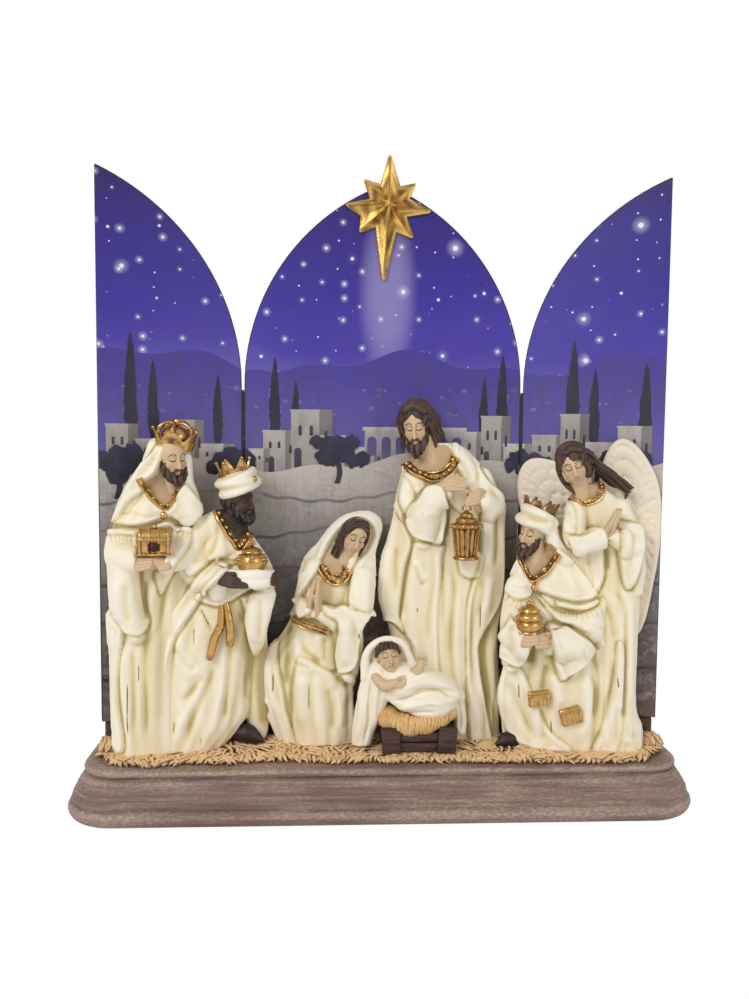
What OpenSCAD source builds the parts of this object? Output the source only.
// Nativity group on a moulded plinth, in front of a three-panel folding backdrop.
// The plinth stands on the table at z = 0, +Y points away from the viewer, sizes are millimetres.

/* [Plinth] */
// Width of the plinth across its foot
plinth_w = 257; // [250:1:280]
// Depth of the plinth across its foot
plinth_d = 72; // [70:1:90]
// Height of the plinth's top above the table
plinth_h = 22; // [18:0.5:30]
// How far the foot stands out past the top edge
plinth_flare = 8; // [6:0.5:9]
// Corner radius of the foot seen from above
plinth_corner = 20; // [16:1:24]
// Height of the rounded foot moulding
foot_h = 7.5; // [6:0.5:9]
// Height of the bead round the top edge
bead_h = 3.4; // [2.5:0.1:4]
// Depth of the grooves above the foot and below the bead
groove = 0.9; // [0.4:0.1:1.2]
// Thickness of the felt glued underneath
felt_t = 1; // [0.6:0.1:1.5]
// How far the felt stays inside the foot's edge
felt_inset = 5; // [4:0.5:10]

/* [Straw ground] */
// Thickness of the straw mat on the plinth
straw_t = 3; // [2:0.5:5]
// Margin of bare plinth left round the mat
straw_margin = 2; // [1:0.5:3]
// How far the ragged edge of the mat wanders
straw_ragged = 1.2; // [0.4:0.1:1.5]
// Height of the straw bank that carries the backdrop
bank_h = 12.7; // [8:0.5:20]
// How far the bank stands out in front of and behind a panel
bank_lip = 1.2; // [0.8:0.1:2]
// How far the bank stops short of a wing's outer edge
bank_end = 1; // [0.5:0.5:6]

/* [Backdrop] */
// Width of the middle panel
panel_w = 120; // [112:1:126]
// Thickness of the panels
panel_t = 4; // [3:0.5:5]
// Height of the panels' shoulders above the table
shoulder_z = 176; // [165:1:190]
// Rise of the pointed arch above its shoulders
arch_rise = 86; // [75:1:95]
// Front face of the middle panel behind the middle of the plinth
panel_y = 12; // [11:0.5:16]
// Depth of the middle panel's foot in the bank
panel_foot = 10; // [5:0.5:12]
// Air between a wing's lower edge and the bank
wing_air = 0.3; // [0.2:0.1:0.6]
// Width of a wing
wing_w = 59.3; // [54:0.1:59.5]
// Angle at which the wings stand forward
wing_angle = 19; // [0:1:22]
// Gap between the panels at the hinge line when flat
panel_gap = 3; // [2.6:0.1:4]

/* [Hinges] */
// Radius of a hinge barrel
barrel_r = 1.6; // [1.4:0.1:2]
// Radius of a hinge pin
pin_r = 0.8; // [0.6:0.05:0.9]
// Radial play of a pin in its knuckles
pin_play = 0.05; // [0.03:0.01:0.1]
// Thickness of a hinge leaf
leaf_t = 0.8; // [0.6:0.1:1]
// Reach of a leaf from the pin
leaf_reach = 10; // [9:0.5:14]
// Length of a hinge
hinge_len = 30; // [24:1:40]
// Height of the lower hinges' middle
hinge_low_z = 62; // [55:1:80]
// Height of the upper hinges' middle
hinge_high_z = 158; // [140:1:160]
// Gap between neighbouring knuckles
knuckle_gap = 0.2; // [0.1:0.05:0.4]
// Diameter of a screw's shank
screw_d = 1.4; // [1:0.1:1.8]
// Diameter of a screw's head
screw_head_d = 2.8; // [2.2:0.1:3.4]
// Height of a screw's head
screw_head_t = 0.5; // [0.3:0.1:0.6]
// Depth of a screw in its panel
screw_depth = 2.4; // [1.5:0.1:2.5]

/* [Star] */
// Height of the star's middle above the table
star_z = 252.5; // [235:0.5:255]
// Shift of the star's middle off the panel's middle
star_x = 1.4; // [-3:0.1:3]
// Length of the upper point
star_top = 21; // [16:0.5:24]
// Length of the long tail point
star_tail = 31.4; // [24:0.5:36]
// Length of the side points
star_side = 18.4; // [14:0.5:22]
// Length of the four small points
star_small = 14.2; // [10:0.5:16]
// Radius of the notches between the points
star_notch = 6.4; // [5:0.2:8]
// Thickness of the star at its middle
star_t = 5.5; // [4:0.5:8]
// Thickness of the star at its rim
star_rim = 1.2; // [0.8:0.1:2]
// Lean of the star, clockwise
star_lean = 3; // [0:0.5:6]

/* [Standing king] */
// Height of the standing king
standing_king_h = 136.6; // [130:0.1:140]
// Place of the standing king along the plinth
standing_king_x = -95; // [-97:0.5:-93]
// Place of the standing king across the plinth
standing_king_y = -10; // [-12:0.5:-9.5]

/* [Bowing king] */
// Height of the bowing king
bowing_king_h = 120.3; // [114:0.1:124]
// Place of the bowing king along the plinth
bowing_king_x = -72; // [-74:0.5:-70]
// Place of the bowing king across the plinth
bowing_king_y = -6; // [-8:0.5:-5]

/* [Mother] */
// Height of the kneeling mother
mother_h = 97.2; // [92:0.1:102]
// Place of the mother along the plinth
mother_x = -29; // [-31:0.5:-27]
// Place of the mother across the plinth
mother_y = 1; // [-1:0.5:2]

/* [Father] */
// Height of the standing father
father_h = 146.7; // [140:0.1:152]
// Place of the father along the plinth
father_x = 27; // [25:0.5:29]
// Place of the father across the plinth
father_y = 3; // [2:0.5:4]

/* [Manger] */
// Height of the child in the manger
manger_h = 46; // [42:0.5:50]
// Place of the manger along the plinth
manger_x = 12.5; // [11:0.5:14]
// Place of the manger across the plinth
manger_y = -13; // [-15:0.5:-12]

/* [Kneeling king] */
// Height of the kneeling king
kneeling_king_h = 104.6; // [98:0.1:108]
// Place of the kneeling king along the plinth
kneeling_king_x = 71; // [70:0.5:73]
// Place of the kneeling king across the plinth
kneeling_king_y = -9; // [-11:0.5:-8]

/* [Angel] */
// Height of the angel
angel_h = 128.3; // [122:0.1:132]
// Place of the angel along the plinth
angel_x = 98; // [96:0.5:100]
// Place of the angel across the plinth
angel_y = -12; // [-14:0.5:-11]

/* [Cast figures] */
// Half width, half depth and half height of a grown figure's head
head_half = [5.7, 6, 7.6];
// Hairline gap between the cast pieces of the group
seam = 0.06; // [0.04:0.01:0.1]
// Air between the figures' backs and the panels
figure_air = 0.5; // [0.4:0.1:1]

/* [Hidden] */
$fn = 48;

// The panels and the figures' places are given for this width of plinth and keep their share of it
plinth_drawn_w = 257;
spread = plinth_w / plinth_drawn_w;
middle_w = panel_w * spread;
wing_len = wing_w * spread;

// Heights worked out from the sizes above
ground = plinth_h + straw_t;
bank_top = plinth_h + bank_h;
wing_foot = bank_top + wing_air;

// Hinge axis and the hinges' places
hinge_x = middle_w / 2 + panel_gap / 2;
hinge_y = panel_y + panel_t + barrel_r;
hinge_heights = [hinge_low_z, hinge_high_z];
knuckle_len = hinge_len / 3;
screw_x = leaf_reach * 0.68;
screw_rise = hinge_len * 0.34;
screw_len = leaf_t + screw_depth;

// Closed skin over a stack of rings with equal numbers of points, lowest ring first
function stack_faces(rings, points) = concat(
  [[for (j = [0 : points - 1]) j]],
  [for (i = [0 : rings - 2], j = [0 : points - 1])
    [i * points + j, (i + 1) * points + (j + 1) % points, i * points + (j + 1) % points]],
  [for (i = [0 : rings - 2], j = [0 : points - 1])
    [i * points + j, (i + 1) * points + j, (i + 1) * points + (j + 1) % points]],
  [[for (j = [points - 1 : -1 : 0]) (rings - 1) * points + j]]
);

module stack(rings)
  polyhedron([for (ring = rings) each ring], stack_faces(len(rings), len(rings[0])));

// Rounded rectangle as a ring of points, moved in from the plinth's foot by inset
function slab_ring(inset, z, steps = 5) =
  let (r = plinth_corner - 0.6 * inset, x = plinth_w / 2 - inset - r, y = plinth_d / 2 - inset - r)
  [for (q = [0 : 3], k = [0 : steps])
    let (a = 90 * q + 90 * k / steps)
    [(q == 0 || q == 3 ? x : -x) + r * cos(a), (q < 2 ? y : -y) + r * sin(a), z]];

// Moulded plinth: rounded foot, groove, long outward slope, groove and a bead at the top
module plinth() {
  slope_low = foot_h + 0.7;
  slope_high = plinth_h - bead_h;
  slope = [for (t = [0 : 0.25 : 1])
    [slope_low + t * (slope_high - slope_low), 1.3 + (plinth_flare - 3) * pow(t, 1.25)]];
  profile = concat(
    [[felt_t, 3], [felt_t + 1, 1.1], [foot_h * 0.45, 0.2], [foot_h * 0.72, 0], [foot_h * 0.95, 0.6]],
    [[foot_h + 0.2, 1 + groove]],
    slope,
    [[slope_high + 0.5, plinth_flare - 1.6 + groove], [slope_high + 1, plinth_flare - 2],
     [plinth_h - 1.2, plinth_flare - 2], [plinth_h - 0.4, plinth_flare - 1.4], [plinth_h, plinth_flare]]
  );
  color([0.40, 0.33, 0.33])
    stack([for (p = profile) slab_ring(p[1], p[0])]);
}

module base_felt() {
  r = plinth_corner - felt_inset;
  color([0.16, 0.15, 0.15])
    linear_extrude(felt_t)
      offset(r)
        square([plinth_w - 2 * felt_inset - 2 * r, plinth_d - 2 * felt_inset - 2 * r], center = true);
}

// Edge of the straw mat, which wanders in and out along its four sides
function wander(i) = straw_ragged * sin(137 * i) * cos(71 * i);
function mat_edge(from, to, count, out) =
  [for (i = [0 : count - 1]) from + (to - from) * i / count + out * wander(i)];

module straw_bed() {
  x = plinth_w / 2 - plinth_flare - straw_margin - straw_ragged;
  front = -(plinth_d / 2 - plinth_flare - straw_margin - straw_ragged);
  back = panel_y + panel_t;
  corner = 9;
  color([0.78, 0.60, 0.36])
    cast()
      difference() {
        translate([0, 0, plinth_h])
          linear_extrude(straw_t)
            polygon(concat(
              mat_edge([-x + corner, front], [x - corner, front], 34, [0, 1]),
              mat_edge([x - corner, front], [x, front + corner], 3, [0.7, -0.7]),
              mat_edge([x, front + corner], [x, back - corner], 7, [1, 0]),
              mat_edge([x - corner, back], [-x + corner, back], 26, [0, 1]),
              mat_edge([-x, back - corner], [-x, front + corner], 7, [1, 0]),
              mat_edge([-x, front + corner], [-x + corner, front], 3, [0.7, 0.7])
            ));
        backdrop_room();
      }
}

// Places what is drawn beside the hinge axis on the right (side 1) or left (side -1) wing
module on_wing(side)
  mirror([side < 0 ? 1 : 0, 0, 0])
    translate([hinge_x, hinge_y, 0])
      rotate([0, 0, -wing_angle])
        children();

// Places what is drawn beside the hinge axis on the middle panel's right or left edge
module on_middle(side)
  mirror([side < 0 ? 1 : 0, 0, 0])
    translate([hinge_x, hinge_y, 0])
      children();

// The bank of straw under the three panels, without the middle panel's slot
module bank_form(grow = 0) {
  depth = panel_t + 2 * bank_lip + 2 * grow;
  translate([-middle_w / 2, panel_y - bank_lip - grow, plinth_h])
    cube([middle_w, depth, bank_h + grow]);
  for (side = [-1, 1])
    on_wing(side)
      translate([-panel_gap / 2, -barrel_r - panel_t - bank_lip - grow, plinth_h])
        cube([wing_len + panel_gap - bank_end, depth, bank_h + grow]);
}

// Where no figure may reach: the bank, the panels with their air, and all behind them
module backdrop_room() {
  reach = 60;
  bank_form(seam);
  translate([-middle_w / 2, panel_y - figure_air, plinth_h])
    cube([middle_w, reach, shoulder_z]);
  for (side = [-1, 1])
    on_wing(side)
      translate([-panel_gap / 2, -barrel_r - panel_t - figure_air, plinth_h])
        cube([wing_len + panel_gap, reach, shoulder_z]);
}

module backdrop_rail()
  color([0.66, 0.50, 0.30])
    difference() {
      bank_form();
      translate([-middle_w / 2, panel_y, bank_top - panel_foot])
        cube([middle_w, panel_t, panel_foot + 1]);
    }

// Half of a pointed arch: the shoulder at x = 0, the point at x = w
module half_arch(w, foot) {
  arc_r = (w * w + arch_rise * arch_rise) / (2 * w);
  translate([0, foot])
    square([w, shoulder_z - foot]);
  intersection() {
    translate([arc_r, shoulder_z])
      circle(arc_r, $fn = 120);
    translate([0, shoulder_z])
      square([w, arch_rise]);
  }
}

// Drills a leaf's screw places, or fills them with screws, beside the hinge axis
module at_screws()
  for (z = hinge_heights, rise = [-screw_rise, screw_rise])
    translate([screw_x, -barrel_r, z + rise])
      rotate([90, 0, 0])
        children();

module screw_holes()
  at_screws()
    translate([0, 0, -leaf_t - 1])
      cylinder(d = screw_d + 2 * seam, h = screw_len + 1 + seam);

module screw()
  translate([0, 0, -leaf_t]) {
    cylinder(d = screw_d, h = screw_len);
    translate([0, 0, -screw_head_t])
      cylinder(d = screw_head_d, h = screw_head_t);
  }

module center_panel()
  color([0.30, 0.22, 0.62])
    difference() {
      translate([0, panel_y + panel_t, 0])
        rotate([90, 0, 0])
          linear_extrude(panel_t)
            for (side = [0, 1])
              mirror([side, 0])
                translate([-middle_w / 2, 0])
                  half_arch(middle_w / 2, bank_top - panel_foot);
      for (side = [-1, 1])
        on_middle(side)
          mirror([1, 0, 0])
            screw_holes();
    }

module wing_panel(side)
  color([0.27, 0.18, 0.58])
    on_wing(side)
      difference() {
        translate([panel_gap / 2, -barrel_r, 0])
          rotate([90, 0, 0])
            linear_extrude(panel_t)
              half_arch(wing_len, wing_foot);
        screw_holes();
      }

module left_panel() wing_panel(-1);
module right_panel() wing_panel(1);

// One leaf of each hinge on an edge: middle_knuckle picks which knuckles it carries
module leaves(middle_knuckle)
  for (z = hinge_heights)
    difference() {
      union() {
        translate([0, -barrel_r, z - hinge_len / 2])
          cube([leaf_reach, leaf_t, hinge_len]);
        for (k = middle_knuckle ? [0] : [-1, 1])
          translate([0, 0, z + k * knuckle_len])
            cylinder(r = barrel_r, h = knuckle_len - knuckle_gap, center = true);
      }
      translate([0, 0, z])
        cylinder(r = pin_r + pin_play, h = hinge_len + 1, center = true);
      for (k = middle_knuckle ? [-1, 1] : [0])
        translate([-1, -barrel_r - 1, z + (k - 0.5) * knuckle_len - (k < 0 ? 1 : knuckle_gap / 2)])
          cube([barrel_r + 1.3, leaf_t + 2, knuckle_len + (k == 0 ? knuckle_gap : 1 + knuckle_gap / 2)]);
      screw_holes();
    }

module hinge_fixed_leaves()
  color([0.72, 0.70, 0.66])
    for (side = [-1, 1])
      on_middle(side)
        mirror([1, 0, 0])
          leaves(false);

module left_hinge_leaves()
  color([0.72, 0.70, 0.66])
    on_wing(-1)
      leaves(true);

module right_hinge_leaves()
  color([0.72, 0.70, 0.66])
    on_wing(1)
      leaves(true);

module hinge_pins()
  color([0.62, 0.60, 0.57])
    for (side = [-1, 1], z = hinge_heights)
      on_middle(side)
        translate([0, 0, z]) {
          cylinder(r = pin_r, h = hinge_len, center = true);
          for (end = [-1, 1])
            translate([0, 0, end * (hinge_len / 2 + 0.25)])
              cylinder(r = pin_r + 0.5, h = 0.5, center = true);
        }

module hinge_fixed_screws()
  color([0.70, 0.68, 0.62])
    for (side = [-1, 1])
      on_middle(side)
        mirror([1, 0, 0])
          at_screws()
            screw();

module left_hinge_screws()
  color([0.70, 0.68, 0.62])
    on_wing(-1)
      at_screws()
        screw();

module right_hinge_screws()
  color([0.70, 0.68, 0.62])
    on_wing(1)
      at_screws()
        screw();

// Eight-pointed star with a ridge along each point, flat on the back
module star() {
  tips = [star_top, star_small, star_side, star_small, star_tail, star_small, star_side, star_small];
  outline = [for (i = [0 : 15])
    let (r = i % 2 == 0 ? tips[i / 2] : star_notch, a = 90 - 22.5 * i)
    [r * cos(a), r * sin(a)]];
  points = concat(
    [for (p = outline) [p[0], p[1], 0]],
    [for (p = outline) [p[0], p[1], star_rim]],
    [[0, 0, star_t], [0, 0, 0]]
  );
  faces = concat(
    [for (i = [0 : 15]) [(i + 1) % 16, i, 33]],
    [for (i = [0 : 15]) [i, (i + 1) % 16, 16 + (i + 1) % 16]],
    [for (i = [0 : 15]) [i, 16 + (i + 1) % 16, 16 + i]],
    [for (i = [0 : 15]) [16 + i, 16 + (i + 1) % 16, 32]]
  );
  color([0.80, 0.62, 0.28])
    translate([star_x, panel_y, star_z])
      rotate([90, 0, 0])
        rotate([0, 0, -star_lean])
          polyhedron(points, [for (f = faces) [for (k = [len(f) - 1 : -1 : 0]) f[k]]]);
}

// One casting: the shapes inside melt into a single skin
module cast() minkowski() { union() children(); }

// Draped form over level ellipses [z, x, y, half width, half depth], with folds that fade upwards
module drape(rings, turn = 0, folds = 7, depth = 0, grow = 0) {
  sides = 28;
  top = rings[len(rings) - 1][0];
  stack([for (g = rings) [for (j = [0 : sides - 1])
    let (
      a = 360 * j / sides,
      fold = 1 + depth * (1 - g[0] / top) * cos(folds * a),
      u = (g[3] * fold + grow) * cos(a),
      v = (g[4] * fold + grow) * sin(a)
    )
    [g[1] + u * cos(turn) - v * sin(turn), g[2] + u * sin(turn) + v * cos(turn), g[0]]]]);
}

// Directions along a path, and side vectors carried along it without twisting
function unit(v) = v / norm(v);
function spot(p) = [p[0], p[1], p[2]];
function heading(path, i) =
  unit(spot(path[min(i + 1, len(path) - 1)]) - spot(path[max(i - 1, 0)]));
function side_of(path, i) =
  let (d = heading(path, i), ref = i == 0 ? (abs(d[1]) < 0.8 ? [0, 1, 0] : [1, 0, 0]) : side_of(path, i - 1))
  unit(ref - (ref * d) * d);

// Round limb, sleeve or cord through points [x, y, z, radius]
module limb(path, grow = 0, sides = 8)
  stack([for (i = [0 : len(path) - 1])
    let (d = heading(path, i), u = side_of(path, i), v = cross(d, u), r = path[i][3] + grow)
    [for (j = [0 : sides - 1])
      let (a = 360 * j / sides)
      spot(path[i]) + r * (u * cos(a) + v * sin(a))]]);

// Egg-shaped form for heads, hair, beards and turbans
module egg(at, half, tilt = [0, 0, 0], grow = 0)
  translate(at)
    rotate(tilt)
      scale(half + grow * [1, 1, 1])
        sphere(1, $fn = 12);

// Band that hangs round the front of a neck, low at the breast
module collar(at, w, d, drop, r, pointed = false, lean = 0)
  limb([for (a = [-100 : 20 : 100])
    [at[0] + w * sin(a) + lean * cos(a), at[1] - d * cos(a),
     at[2] - drop * (pointed ? 1 - abs(a) / 100 : cos(0.9 * a)), r]], sides = 8);

// Open crown with pointed leaves above a plain band
module crown(at, tilt, r, h, wall = 0.9) {
  points = 7;
  translate(at)
    rotate(tilt) {
      difference() {
        cylinder(r1 = r, r2 = r + 0.7, h = h * 0.5, $fn = 18);
        translate([0, 0, -1])
          cylinder(r1 = r - wall, r2 = r + 0.7 - wall, h = h * 0.5 + 2, $fn = 18);
      }
      for (i = [0 : points - 1])
        rotate([0, 0, 360 * i / points])
          translate([r + 0.2, 0, h * 0.45])
            rotate([0, 10, 0])
              scale([0.45, 1, 1])
                cylinder(r1 = 2.2, r2 = 0.5, h = h * 0.55, $fn = 4);
    }
}

// Puts a figure drawn as tall as drawn_h on its place on the straw, at its own height
module place(x, y, h, drawn_h)
  translate([x * spread, y, ground])
    scale(h / drawn_h)
      children();

// Standing king
module at_standing_king()
  place(standing_king_x, standing_king_y, standing_king_h, 136.6) children();

module standing_king_cloth(grow = 0)
  at_standing_king() {
    drape([
      [0, 0.5, 0, 17, 8.2], [18, 0, 0, 16, 7.8], [45, -0.5, 0, 15.8, 7.8], [70, -1, 0, 16.6, 8.2],
      [84, -0.5, 0, 17.2, 8.4], [92, 1, 0, 16.8, 8], [98, 2.5, 0, 14, 7.4], [104, 4, 0.2, 11.4, 7],
      [112, 4, 0.4, 10.6, 7], [119, 6, 0.4, 9, 7], [126, 7.8, 0.2, 7.2, 6.6], [130, 8.4, 0, 5, 5],
      [131.5, 8.4, 0, 1.5, 1.5]
    ], turn = 19, depth = 0.05, grow = grow);
    limb([[-12, -1, 94, 4.5], [-13, -5, 82, 6.5], [-8, -11, 78, 5]], grow);
    limb([[13, 3, 92, 4.5], [12, -4, 81, 6], [6, -11, 77, 4.5]], grow);
    limb([[-10, -7, 80, 5.5], [-9, -9, 66, 5.6], [-6, -8.5, 49, 3.4]], grow);
  }

module standing_king_head_form(grow = 0)
  at_standing_king() {
    egg([9.5, -4.6, 121.5], head_half, [8, 0, 0], grow);
    limb([[8.5, -2, 104, 4], [9, -3, 116, 4]], grow);
  }

module standing_king_beard_form(grow = 0)
  at_standing_king()
    egg([10.4, -8, 114.2], [4.7, 3.8, 6.4], [15, 0, 0], grow);

module standing_king_chest_form(grow = 0)
  at_standing_king()
    translate([-6, -18.5, 80.6])
      rotate([0, 0, 4]) {
        translate([0, 0, -grow])
          cube([12 + grow, 8, 6.6]);
        translate([0, 4, 6.4])
          rotate([0, 90, 0])
            cylinder(r = 4, h = 12, $fn = 24);
      }

module standing_king_robe()
  color([0.93, 0.90, 0.80])
    cast()
      difference() {
        standing_king_cloth();
        backdrop_room();
        bowing_king_cloth(seam);
        standing_king_chest_form(seam);
      }

module standing_king_head()
  color([0.86, 0.70, 0.56])
    cast()
      difference() {
        standing_king_head_form();
        standing_king_cloth(seam);
      }

module standing_king_beard()
  color([0.27, 0.16, 0.11])
    cast()
      difference() {
        standing_king_beard_form();
        standing_king_head_form(seam);
        standing_king_cloth(seam);
      }

module standing_king_crown()
  color([0.76, 0.58, 0.28])
    cast()
      difference() {
        at_standing_king()
          crown([8.6, -1.2, 124.5], [8, 6, 0], 7.6, 12.1);
        standing_king_head_form(seam);
        standing_king_cloth(seam);
      }

module standing_king_collar()
  color([0.76, 0.58, 0.28])
    cast()
      difference() {
        at_standing_king()
          collar([5, 0.5, 112], 9.4, 9, 13.5, 1.7, pointed = true, lean = 2.4);
        standing_king_beard_form(seam);
        standing_king_head_form(seam);
        standing_king_cloth(seam);
      }

module standing_king_hands()
  color([0.86, 0.70, 0.56])
    cast()
      difference() {
        at_standing_king() {
          limb([[-8.5, -11, 79, 2.6], [-6, -15, 78.5, 2.6], [-1, -16.5, 78.8, 2]]);
          limb([[7, -11, 78, 2.4], [6, -15, 78, 2.4], [1.6, -16.5, 78.4, 1.9]]);
        }
        standing_king_chest_form(seam);
        standing_king_cloth(seam);
      }

module standing_king_chest()
  color([0.74, 0.56, 0.26])
    cast()
      standing_king_chest_form();

// Bowing king
module at_bowing_king()
  place(bowing_king_x, bowing_king_y, bowing_king_h, 120.3) children();

module bowing_king_cloth(grow = 0)
  at_bowing_king() {
    drape([
      [0, -3.5, -1, 20.5, 9], [20, -2.5, -0.5, 20, 8.8], [40, -0.5, 0, 20.5, 9], [60, 3, 0, 19.5, 9],
      [74, 4.5, 0, 16.5, 8.8], [84, 2.5, 0.5, 13.8, 8.4], [92, 3, 0.5, 12, 7.6], [97, 7, 0, 8, 6.2],
      [99.5, 9, 0, 4, 4]
    ], turn = 8, depth = 0.05, grow = grow);
    egg([11.4, 0.4, 110.6], [8.4, 7.6, 5.8], [0, -8, 0], grow);
    limb([[-4, -1, 88, 6], [-6, -6, 75, 7], [4, -11, 71, 5], [6, -11, 62, 3.4]], grow);
    limb([[12, 0, 86, 5.5], [20, -5, 75, 5.5], [22, -10, 72, 4]], grow);
    limb([[24, -9, 71, 4], [25, -7.5, 60, 4.2], [23, -5.5, 40, 4.2], [22, -4.5, 22, 3]], grow);
    egg([18.6, -12, 72.4], [9, 5.4, 2.4], [0, 4, 0], grow);
  }

module bowing_king_head_form(grow = 0)
  at_bowing_king() {
    egg([12.6, -2.8, 103.2], head_half, [10, 0, 0], grow);
    limb([[8.5, 0, 90, 3.8], [11, -1.5, 99, 3.8]], grow);
  }

module bowing_king_beard_form(grow = 0)
  at_bowing_king()
    egg([15, -5.6, 97.4], [4.4, 3.8, 5.4], [15, 10, 0], grow);

module bowing_king_pot_form(grow = 0)
  at_bowing_king()
    translate([17.8, -13, 74.6])
      rotate_extrude($fn = 24)
        polygon([[0, -grow], [3.2 + grow, -grow], [5 + grow, 1.6], [5.7 + grow, 4], [4.8 + grow, 6.2],
          [3.4 + grow, 7.2], [3.8 + grow, 7.8], [2.6 + grow, 9], [0.8 + grow, 9.6], [0.9 + grow, 10.8], [0, 11.2]]);

module bowing_king_robe()
  color([0.93, 0.90, 0.81])
    cast()
      difference() {
        bowing_king_cloth();
        backdrop_room();
        bowing_king_pot_form(seam);
      }

module bowing_king_head()
  color([0.30, 0.17, 0.12])
    cast()
      difference() {
        bowing_king_head_form();
        bowing_king_cloth(seam);
      }

module bowing_king_beard()
  color([0.16, 0.13, 0.12])
    cast()
      difference() {
        bowing_king_beard_form();
        bowing_king_head_form(seam);
        bowing_king_cloth(seam);
      }

module bowing_king_crown()
  color([0.72, 0.53, 0.27])
    cast()
      difference() {
        at_bowing_king()
          crown([10.4, 0.4, 112.2], [4, -8, 0], 6.2, 8.3);
        bowing_king_cloth(seam);
      }

module bowing_king_trim()
  color([0.76, 0.58, 0.28])
    cast()
      difference() {
        at_bowing_king() {
          collar([9, 0.4, 96.5], 8.8, 8.6, 11.5, 1.9, pointed = true, lean = 2.2);
          limb([[4, -9.6, 61, 1.6], [3, -10.4, 50, 1.7], [0.6, -10, 37, 2]], sides = 6);
          limb([[6, -9.6, 61, 1.6], [9, -10.4, 52, 1.7], [10.6, -10, 42, 2]], sides = 6);
        }
        bowing_king_pot_form(seam);
        bowing_king_beard_form(seam);
        bowing_king_head_form(seam);
        bowing_king_cloth(seam);
      }

module bowing_king_hands()
  color([0.30, 0.17, 0.12])
    cast()
      difference() {
        at_bowing_king() {
          limb([[5, -14, 71, 2.4], [10, -16.2, 70.6, 2.4], [16, -16.6, 71, 1.8]]);
          limb([[25, -12, 72, 2.2], [28, -14, 72, 2], [26, -16.4, 72, 1.6]]);
        }
        bowing_king_pot_form(seam);
        bowing_king_cloth(seam);
      }

module bowing_king_pot()
  color([0.74, 0.56, 0.26])
    bowing_king_pot_form();

// Kneeling mother
module at_mother()
  place(mother_x, mother_y, mother_h, 97.2) children();

module mother_cloth(grow = 0)
  at_mother() {
    drape([
      [0, 1, -0.6, 15.5, 8], [8, -1, -0.4, 18, 8.4], [20, -3.5, 0, 19.6, 8.4], [30, -3, 0, 19.8, 8.4],
      [40, -0.5, 0, 17.4, 8], [50, 3.5, 0.2, 15, 7.6], [60, 7, 0.4, 14.6, 7.2], [68, 9, 0.6, 15.4, 7],
      [75, 9.6, 0.8, 15, 6.8], [80, 11.4, 1.4, 13.2, 6.4], [86, 15, 2, 11, 6.2], [91, 17.4, 2, 9.8, 6],
      [95, 19.4, 1.8, 7, 5.4], [97.2, 20.4, 1.6, 2.5, 2.5]
    ], turn = -4, depth = 0.05, grow = grow);
    limb([[0, -3, 72, 5.4], [-3, -6.5, 59, 5], [-1.4, -10, 57, 3.2]], grow);
    limb([[19, -2.5, 69, 5.6], [15, -7.5, 52, 6.4], [3, -10, 56, 3.6]], grow);
    limb([[13, -7, 53, 6.4], [14.5, -7, 42, 6], [15, -6, 30, 3.6]], grow);
  }

module mother_head_form(grow = 0)
  at_mother() {
    egg([17.6, -4.6, 85.6], head_half, [12, -14, 0], grow);
    limb([[11, -2, 70, 3.6], [14.6, -3, 79, 3.4]], grow);
  }

module mother_hands_form(grow = 0)
  at_mother() {
    limb([[-2.6, -10.5, 56, 2.4], [-1.4, -11.6, 62, 2.2], [1.6, -12, 70, 1.2]], grow);
    limb([[0.4, -10.8, 56, 2.4], [0.4, -11.6, 62, 2.2], [2.6, -12, 70, 1.2]], grow);
  }

module mother_robe()
  color([0.93, 0.90, 0.81])
    cast()
      difference() {
        mother_cloth();
        backdrop_room();
        bowing_king_cloth(seam);
        baby_wraps(seam);
      }

module mother_head()
  color([0.87, 0.71, 0.58])
    cast()
      difference() {
        mother_head_form();
        mother_cloth(seam);
      }

module mother_hair()
  color([0.25, 0.15, 0.11])
    cast()
      difference() {
        at_mother()
          egg([18, -2.6, 86.6], [7, 6.6, 8.6], [8, -14, 0]);
        mother_head_form(seam);
        mother_cloth(seam);
      }

module mother_hands()
  color([0.87, 0.71, 0.58])
    cast()
      difference() {
        mother_hands_form();
        mother_cloth(seam);
      }

module mother_trim()
  color([0.76, 0.58, 0.28])
    cast()
      difference() {
        at_mother() {
          collar([9.4, -0.4, 78], 8, 7.4, 7, 1.8);
          limb([[-9.4, -4.5, 53, 1.8], [-5, -7.6, 51, 2], [0.6, -8.8, 49.4, 2], [5.6, -8.4, 47.6, 1.8]]);
        }
        mother_hands_form(seam);
        mother_head_form(seam);
        mother_cloth(seam);
      }

// Standing father
module at_father()
  place(father_x, father_y, father_h, 146.7) children();

module father_cloth(grow = 0)
  at_father() {
    drape([
      [0, 3, 0, 21.5, 6.8], [20, 2.5, 0, 21.8, 6.8], [42, 1, 0, 24, 7], [60, -1, 0, 26.6, 7.2],
      [76, -0.6, 0, 26.4, 7.2], [90, 0.6, 0, 24.4, 7.2], [101, 2, 0, 23.6, 7], [110, 1.2, 0, 20.6, 6.8],
      [117, 0, 0, 16.6, 6.4], [123, -2, 0, 11.4, 6], [127, -4, -0.4, 6, 4.6]
    ], depth = 0.05, grow = grow);
    limb([[-14, -1, 113, 6], [-15, -5, 98, 7.4], [-4, -8.6, 106, 4.6]], grow);
    limb([[-13, -5, 99, 7], [-11.5, -6.5, 92, 6], [-9, -7, 84, 3.4]], grow);
    limb([[19, 0, 111, 6], [22, -3.6, 98, 7], [14, -8.6, 102, 4.6]], grow);
  }

module father_head_form(grow = 0)
  at_father() {
    egg([-13.6, -5.4, 133], head_half + [0.2, 0.2, 0.6], [14, -8, 0], grow);
    limb([[-6, -1, 118, 4.4], [-11, -3, 129, 4.2]], grow);
  }

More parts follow.
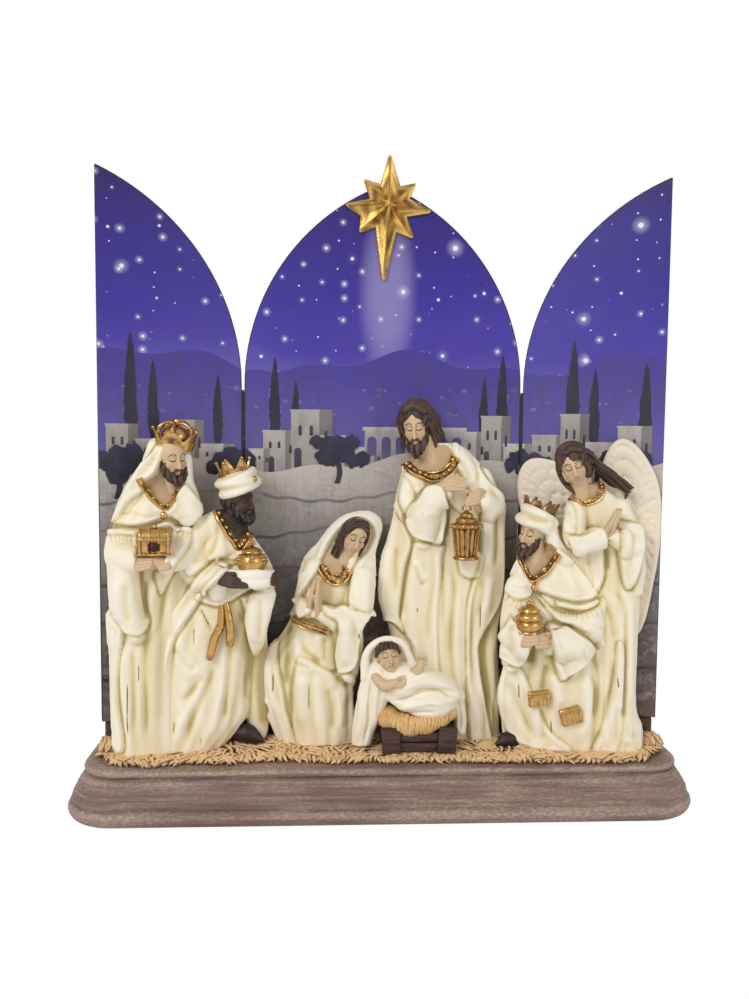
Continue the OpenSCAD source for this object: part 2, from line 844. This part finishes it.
// Hair to the nape and a full beard
module father_hair_form(grow = 0)
  at_father() {
    egg([-11.6, -2.8, 135], [8.8, 7.4, 10], [10, -8, 0], grow);
    limb([[-5, -1.6, 135, 4.4], [-3.6, -0.6, 127, 4.2], [-3, 0, 121, 3]], grow);
    egg([-13.4, -9, 125.6], [4.9, 4, 5.6], [15, 0, 0], grow);
  }

module father_lantern_form(grow = 0)
  at_father()
    translate([8, -13.6, 77]) {
      translate([-4.6 - grow, -4.6 - grow, 0])
        cube([9.2 + 2 * grow, 9.2 + 2 * grow, 1.6]);
      translate([-3.8 - grow, -3.8 - grow, 1.5])
        cube([7.6 + 2 * grow, 7.6 + 2 * grow, 12]);
      translate([-5.4 - grow, -5.4 - grow, 13.2])
        cube([10.8 + 2 * grow, 10.8 + 2 * grow, 1.4]);
      translate([0, 0, 14.4])
        rotate([0, 0, 45])
          cylinder(r1 = 6.4 + grow, r2 = 2 + grow, h = 5, $fn = 4);
      translate([0, 0, 19.2])
        cylinder(r = 1 + grow, h = 3.4, $fn = 16);
    }

module father_hands_form(grow = 0)
  at_father() {
    limb([[-3, -9.4, 107.5, 2.6], [2, -11, 110.5, 2.7], [8.6, -11, 109, 1.8]], grow);
    limb([[13, -9.6, 101.6, 2.8], [9.8, -12.6, 101.6, 3.2], [7.6, -13.6, 99.6, 2.4]], grow);
  }

module father_robe()
  color([0.93, 0.90, 0.80])
    cast()
      difference() {
        father_cloth();
        backdrop_room();
        mother_cloth(seam);
        baby_wraps(seam);
      }

module father_head()
  color([0.86, 0.69, 0.55])
    cast()
      difference() {
        father_head_form();
        father_cloth(seam);
      }

module father_hair()
  color([0.33, 0.19, 0.12])
    cast()
      difference() {
        father_hair_form();
        father_head_form(seam);
        father_cloth(seam);
      }

module father_collar()
  color([0.76, 0.58, 0.28])
    cast()
      difference() {
        at_father()
          collar([-6.6, -0.6, 121], 10.6, 8, 8.6, 2.4);
        father_hair_form(seam);
        father_hands_form(seam);
        father_head_form(seam);
        father_cloth(seam);
      }

module father_hands()
  color([0.86, 0.69, 0.55])
    cast()
      difference() {
        father_hands_form();
        father_lantern_form(seam);
        father_cloth(seam);
      }

module father_lantern()
  color([0.78, 0.60, 0.28])
    cast()
      difference() {
        father_lantern_form();
        father_cloth(seam);
      }

// Child in the manger
module at_manger()
  place(manger_x, manger_y, manger_h, 46) children();

module crib_form(grow = 0)
  at_manger() {
    for (x = [-13.4, 13.4])
      translate([1.5 + x - 1.3 - grow, -6.8 - grow, 0])
        cube([2.6 + 2 * grow, 13.6 + 2 * grow, 11 + grow]);
    for (y = [-7.2, 5.6], z = [2.6, 6.8])
      translate([-14 - grow, y - grow, z - grow])
        cube([31 + 2 * grow, 1.6 + 2 * grow, 3 + 2 * grow]);
    translate([-12, -6, 1.6 - grow])
      cube([27, 12, 2 + grow]);
  }

module baby_wraps(grow = 0)
  at_manger() {
    limb([[-13, 0, 31, 5], [-9, -0.4, 29.6, 7.6], [-2, -1, 27, 8.8], [7, -1, 24.4, 8.6], [14, -0.6, 22.6, 7],
      [18, 0, 21.6, 3.4]], grow, sides = 14);
    drape([[1.5, -22, 0, 4, 3.6], [10, -20.4, 0, 5.2, 4.6], [20, -17, 0, 6.6, 5.6], [28, -13, 0, 6.6, 6],
      [33, -11, 0, 4, 4]], folds = 6, depth = 0.08, grow = grow);
    drape([[4.5, 19.2, 1, 2.4, 4.6], [12, 19, 1, 2.8, 5.4], [20, 16, 0.4, 4.2, 5.6], [25, 12, 0, 4, 4]],
      folds = 6, depth = 0.08, grow = grow);
    egg([-11.8, 3.4, 38], [8.6, 3.8, 8.8], [0, 0, 0], grow);
  }

module baby_head_form(grow = 0)
  at_manger()
    egg([-11.3, -3, 39.4], [5.6, 5.6, 6], [-18, -8, 0], grow);

module baby_swaddle()
  color([0.94, 0.92, 0.86])
    cast()
      difference() {
        baby_wraps();
        crib_form(seam);
      }

module baby_body()
  color([0.88, 0.70, 0.57])
    cast()
      difference() {
        union() {
          baby_head_form();
          at_manger() {
            limb([[-16.5, -5, 31, 2], [-13, -7.4, 28.4, 2.5], [-8, -8.6, 29.6, 2.2], [-5, -8.6, 31.2, 1.6]]);
            limb([[-3.4, -4.6, 31, 2.4], [0.8, -7, 35, 2.2], [2.4, -7.4, 39, 1.9], [2, -7.4, 41, 1]]);
          }
        }
        baby_wraps(seam);
      }

module baby_hair()
  color([0.24, 0.15, 0.11])
    cast()
      difference() {
        at_manger()
          egg([-11.2, -1.6, 40.6], [6, 5.8, 5.8], [-18, -8, 0]);
        baby_head_form(seam);
        baby_wraps(seam);
      }

module manger_straw()
  color([0.80, 0.62, 0.36])
    cast()
      difference() {
        at_manger()
          egg([1.5, -0.4, 13.4], [19.4, 10, 6.2], [0, -7, 0]);
        crib_form(seam);
        baby_wraps(seam);
        mother_cloth(seam);
        father_cloth(seam);
      }

module manger_crib()
  color([0.22, 0.14, 0.10])
    crib_form();

// Kneeling king
module at_kneeling_king()
  place(kneeling_king_x, kneeling_king_y, kneeling_king_h, 104.6) children();

module kneeling_king_cloth(grow = 0)
  at_kneeling_king() {
    drape([
      [0, 2.6, 0, 21.8, 9.2], [12, 2, 0, 22.8, 9.4], [24, 1.5, 0, 23, 9.4], [38, 1.5, 0, 20.6, 9],
      [50, 2, 0, 19, 8.8], [61, 1.4, 0, 19.4, 8.8], [69, -0.6, 0, 17.6, 8.2], [76, -3.6, 0, 12.8, 7.2],
      [81, -6, 0, 8.2, 6], [84, -7, 0, 4, 4]
    ], turn = -6, depth = 0.05, grow = grow);
    egg([-8, 0.2, 96.2], [8.4, 7.4, 5.8], [0, 8, 0], grow);
    limb([[-2.4, 2, 95, 4.4], [2.7, 2.5, 87, 4.6], [4.7, 1.7, 77.2, 4.1]], grow);
    limb([[-15, -2, 67, 5.6], [-17, -7, 51, 6.6], [-13, -10.4, 43, 4.6]], grow);
    limb([[-15.8, -7.2, 49.4, 6.3], [-19, -5.6, 36.8, 3.6]], grow);
    limb([[12, -2, 63, 6.6], [10, -7, 46, 7.4], [-2, -10.6, 43, 4.6]], grow);
    limb([[7, -8, 45, 6.4], [6, -8, 29, 3.6]], grow);
  }

module kneeling_king_head_form(grow = 0)
  at_kneeling_king() {
    egg([-11, -3.2, 90.4], head_half, [10, 6, 0], grow);
    limb([[-8, -1, 76, 4], [-9.6, -2, 86, 4]], grow);
  }

module kneeling_king_beard_form(grow = 0)
  at_kneeling_king()
    egg([-12.6, -6.6, 84.4], [5, 4, 6], [15, 0, 0], grow);

module kneeling_king_jar_form(grow = 0)
  at_kneeling_king()
    translate([-11, -13.4, 47.8])
      rotate_extrude($fn = 24)
        polygon([[0, -grow], [3.4 + grow, -grow], [4.4 + grow, 1.2], [6 + grow, 4.4], [5.6 + grow, 7.6],
          [3.8 + grow, 9.4], [4.2 + grow, 10.2], [3 + grow, 11.8], [1 + grow, 12.8], [1.2 + grow, 14.4], [0, 15.2]]);

module kneeling_king_robe()
  color([0.93, 0.90, 0.80])
    cast()
      difference() {
        kneeling_king_cloth();
        backdrop_room();
        kneeling_king_jar_form(seam);
        father_cloth(seam);
      }

module kneeling_king_head()
  color([0.84, 0.67, 0.53])
    cast()
      difference() {
        kneeling_king_head_form();
        kneeling_king_cloth(seam);
      }

module kneeling_king_beard()
  color([0.24, 0.14, 0.10])
    cast()
      difference() {
        kneeling_king_beard_form();
        kneeling_king_head_form(seam);
        kneeling_king_cloth(seam);
      }

module kneeling_king_crown()
  color([0.70, 0.48, 0.26])
    cast()
      difference() {
        at_kneeling_king()
          crown([-7.6, 0.2, 97.2], [4, 8, 0], 6.8, 7.6);
        kneeling_king_cloth(seam);
      }

module kneeling_king_trim()
  color([0.76, 0.58, 0.28])
    cast()
      difference() {
        at_kneeling_king() {
          collar([-6.4, 0.2, 82], 9, 8.6, 14, 1.8, pointed = true, lean = -3);
          translate([-10, -10.6, 16.6])
            cube([9, 3, 7]);
          translate([4, -10.4, 8.6])
            cube([9, 3, 8]);
        }
        kneeling_king_beard_form(seam);
        kneeling_king_head_form(seam);
        kneeling_king_cloth(seam);
      }

module kneeling_king_hands()
  color([0.84, 0.67, 0.53])
    cast()
      difference() {
        at_kneeling_king() {
          limb([[-15, -11.6, 44, 2.6], [-14, -15, 45.6, 2.5], [-9, -17, 46.4, 1.8]]);
          limb([[-3, -12, 44, 2.6], [-5, -15, 45, 2.5], [-9, -16.6, 44.6, 1.8]]);
        }
        kneeling_king_jar_form(seam);
        kneeling_king_cloth(seam);
      }

module kneeling_king_jar()
  color([0.74, 0.54, 0.26])
    kneeling_king_jar_form();

// Angel
module at_angel()
  place(angel_x, angel_y, angel_h, 128.3) children();

module angel_cloth(grow = 0)
  at_angel() {
    drape([
      [0, 1.6, -1, 12, 7], [20, 1.6, 0, 10.8, 6.6], [45, 1, 0.4, 10.8, 6.4], [66, -1, 0.8, 11.8, 6.2],
      [85, -5, 1.2, 12.8, 6], [96, -8, 1.6, 12.6, 5.6], [103, -10.4, 1.6, 11, 5.2], [108, -12.4, 1.4, 7, 4.6],
      [111, -13.4, 1.2, 4, 3.6]
    ], turn = -19, depth = 0.06, grow = grow);
    limb([[-19, 1, 100, 4.4], [-19, -4, 86, 5], [-6, -8, 90, 3.2]], grow);
    limb([[-1, -1, 101, 4.4], [3.6, -3.6, 87, 5.2], [2.4, -6.4, 86, 4.4], [-1.4, -8.2, 91, 3.2]], grow);
    limb([[3, -4, 86, 5], [5, -4.6, 76, 4.6], [6.3, -4.3, 66.6, 2.6]], grow);
  }

module angel_head_form(grow = 0)
  at_angel() {
    egg([-19.6, -2.6, 118.8], head_half - [0.2, 0.2, 0.3], [8, -20, 0], grow);
    limb([[-12.6, -0.4, 104, 3.4], [-16.4, -1.4, 113, 3.4]], grow);
  }

module angel_hair_form(grow = 0)
  at_angel() {
    egg([-18, 0.2, 120.2], [8.6, 7, 8], [0, -20, 0], grow);
    limb([[-14, 1, 119, 6], [-6, 1.6, 113, 5.4], [1, 1, 110, 3.4], [4.6, 0.6, 109.4, 1]], grow);
  }

module angel_hands_form(grow = 0)
  at_angel()
    limb([[-3.6, -9, 89, 2.6], [-3.4, -9.8, 94, 2.4], [-2.8, -10, 102, 1.2]], grow);

// Spread wing seen from the front, cut from the outline and set parallel to the backdrop's wing
module angel_wing(outline, thick = 3)
  difference() {
    at_angel()
      translate([0, 9.4, 0])
        rotate([90, 0, -wing_angle])
          linear_extrude(thick)
            polygon(outline);
    angel_hair_form(seam);
    angel_head_form(seam);
    angel_cloth(seam);
    kneeling_king_cloth(seam);
    backdrop_room();
  }

module angel_robe()
  color([0.92, 0.89, 0.80])
    cast()
      difference() {
        angel_cloth();
        backdrop_room();
        kneeling_king_cloth(seam);
      }

module angel_head()
  color([0.87, 0.71, 0.58])
    cast()
      difference() {
        angel_head_form();
        angel_cloth(seam);
      }

module angel_hair()
  color([0.26, 0.15, 0.11])
    cast()
      difference() {
        angel_hair_form();
        angel_head_form(seam);
        angel_cloth(seam);
      }

module angel_hands()
  color([0.87, 0.71, 0.58])
    cast()
      difference() {
        angel_hands_form();
        angel_cloth(seam);
      }

module angel_collar()
  color([0.76, 0.58, 0.28])
    cast()
      difference() {
        at_angel()
          collar([-12.4, 1, 109.4], 7.6, 6.8, 7, 1.8, lean = 1);
        angel_hands_form(seam);
        angel_hair_form(seam);
        angel_head_form(seam);
        angel_cloth(seam);
      }

module angel_left_wing()
  color([0.95, 0.94, 0.89])
    cast()
      angel_wing([[-14, 92], [-14, 114], [-24, 118], [-37, 120.6], [-42.6, 116], [-43.4, 106], [-40, 92],
        [-34, 80], [-24, 72]]);

module angel_right_wing()
  color([0.95, 0.94, 0.89])
    cast()
      angel_wing([[-8, 92], [-8, 112], [-3, 124], [3, 129.6], [9, 126], [15, 116], [17.6, 104], [17.2, 84],
        [14.6, 66], [11, 50], [6, 44], [2, 60]]);

// Shoes of the bowing and the kneeling king, cut off flat by the straw
module king_shoes()
  color([0.13, 0.10, 0.10])
    cast()
      difference() {
        union() {
          at_bowing_king()
            egg([17.4, 0.4, 3], [6.4, 3.4, 4.4], [0, 12, -20]);
          at_kneeling_king()
            egg([-19.6, -3, 2.4], [5.4, 3.2, 4.2], [0, -10, 20]);
        }
        bowing_king_cloth(seam);
        kneeling_king_cloth(seam);
        below_straw();
      }

// Everything lower than the straw's top
module below_straw()
  translate([-plinth_w, -plinth_d, ground - 20])
    cube([2 * plinth_w, 2 * plinth_d, 20]);

plinth();
base_felt();
straw_bed();
backdrop_rail();
center_panel();
left_panel();
right_panel();
star();
hinge_fixed_leaves();
hinge_pins();
hinge_fixed_screws();
left_hinge_leaves();
right_hinge_leaves();
left_hinge_screws();
right_hinge_screws();
standing_king_robe();
standing_king_head();
standing_king_hands();
standing_king_beard();
standing_king_crown();
standing_king_collar();
standing_king_chest();
bowing_king_robe();
bowing_king_head();
bowing_king_hands();
bowing_king_beard();
bowing_king_crown();
bowing_king_trim();
bowing_king_pot();
mother_robe();
mother_head();
mother_hands();
mother_hair();
mother_trim();
father_robe();
father_head();
father_hands();
father_hair();
father_collar();
father_lantern();
baby_swaddle();
baby_body();
baby_hair();
manger_straw();
manger_crib();
kneeling_king_robe();
kneeling_king_head();
kneeling_king_hands();
kneeling_king_beard();
kneeling_king_crown();
kneeling_king_trim();
kneeling_king_jar();
angel_robe();
angel_head();
angel_hands();
angel_hair();
angel_collar();
angel_left_wing();
angel_right_wing();
king_shoes();
